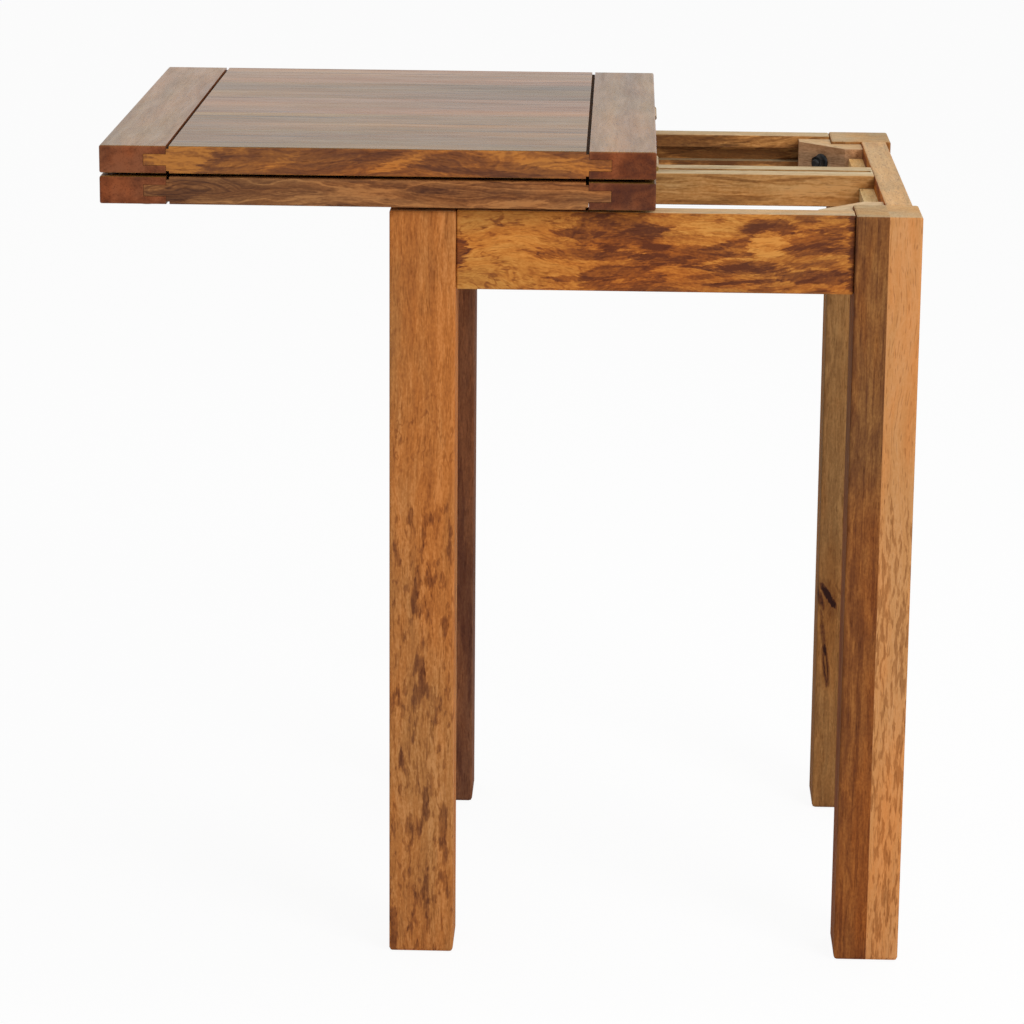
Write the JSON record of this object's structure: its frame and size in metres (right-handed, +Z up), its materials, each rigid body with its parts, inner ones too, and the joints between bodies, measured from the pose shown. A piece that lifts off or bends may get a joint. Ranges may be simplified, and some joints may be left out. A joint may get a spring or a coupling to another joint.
{
  "type": "butterfly leaf dining table",
  "caption": "Square wooden leg-and-apron table with a stacked, hinged top that slides along its base and unfolds to a longer tabletop.",
  "frame": {"origin": "on the floor, in the middle of the whole outline with the stacked top slid out to the left", "axes": "+X along the slide, to the right, from the overhanging end of the top to the open end of the base; +Y from the front to the back; +Z up"},
  "size_m": [0.7402, 0.5, 0.77],
  "materials": {
    "varnished_panel_wood": "satin clear varnish",
    "varnished_end_board_wood": "satin clear varnish",
    "varnished_leg_wood": "satin clear varnish",
    "varnished_apron_wood": "satin clear varnish",
    "bare_wood": "planed, unvarnished",
    "bare_block_wood": "planed, unvarnished",
    "black_steel": "blackened",
    "zinc_steel": "zinc plated",
    "brass": "satin",
    "brown_felt": "felt"
  },
  "bodies": {
    "base": {"front_left_leg": "varnished_leg_wood", "front_right_leg": "varnished_leg_wood", "back_left_leg": "varnished_leg_wood", "back_right_leg": "varnished_leg_wood", "front_apron": "varnished_apron_wood", "back_apron": "varnished_apron_wood", "left_apron": "varnished_apron_wood", "right_apron": "varnished_apron_wood", "left_ledger": "bare_wood", "right_ledger": "bare_wood", "centre_rail": "bare_wood", "front_left_block": "bare_block_wood", "front_right_block": "bare_block_wood", "back_left_block": "bare_block_wood", "back_right_block": "bare_block_wood", "front_left_leg_bolt": "black_steel", "front_left_leg_nut": "black_steel", "front_right_leg_bolt": "black_steel", "front_right_leg_nut": "black_steel", "back_left_leg_bolt": "black_steel", "back_left_leg_nut": "black_steel", "back_right_leg_bolt": "black_steel", "back_right_leg_nut": "black_steel"},
    "lower_leaf": {"lower_left_end_board": "varnished_end_board_wood", "lower_right_end_board": "varnished_end_board_wood", "lower_board_1": "varnished_panel_wood", "lower_board_2": "varnished_panel_wood", "lower_board_3": "varnished_panel_wood", "lower_board_4": "varnished_panel_wood", "lower_board_5": "varnished_panel_wood", "front_hinge_lower_plate": "brass", "back_hinge_lower_plate": "brass", "front_hinge_pin": "brass", "front_slide_shoe": "bare_wood", "front_slide_shoe_left_screw": "zinc_steel", "front_slide_shoe_right_screw": "zinc_steel", "front_left_slide_pad": "brown_felt", "front_middle_slide_pad": "brown_felt", "front_right_slide_pad": "brown_felt", "back_hinge_pin": "brass", "back_slide_shoe": "bare_wood", "back_slide_shoe_left_screw": "zinc_steel", "back_slide_shoe_right_screw": "zinc_steel", "back_left_slide_pad": "brown_felt", "back_middle_slide_pad": "brown_felt", "back_right_slide_pad": "brown_felt", "near_guide_peg": "bare_wood", "far_guide_peg": "bare_wood"},
    "upper_leaf": {"upper_left_end_board": "varnished_end_board_wood", "upper_right_end_board": "varnished_end_board_wood", "upper_board_1": "varnished_panel_wood", "upper_board_2": "varnished_panel_wood", "upper_board_3": "varnished_panel_wood", "upper_board_4": "varnished_panel_wood", "upper_board_5": "varnished_panel_wood", "front_hinge_upper_plate": "brass", "back_hinge_upper_plate": "brass"}
  },
  "joints": [
    {"name": "top_slide", "type": "slide", "parent": "base", "child": "lower_leaf", "axis": [1, 0, 0], "range_m": [0, 0.2503]},
    {"name": "leaf_flip", "type": "hinge", "parent": "lower_leaf", "child": "upper_leaf", "pos_m": [0.13015, 0, 0.7435], "axis": [0, 1, 0], "range_deg": [0, 180]}
  ]
}
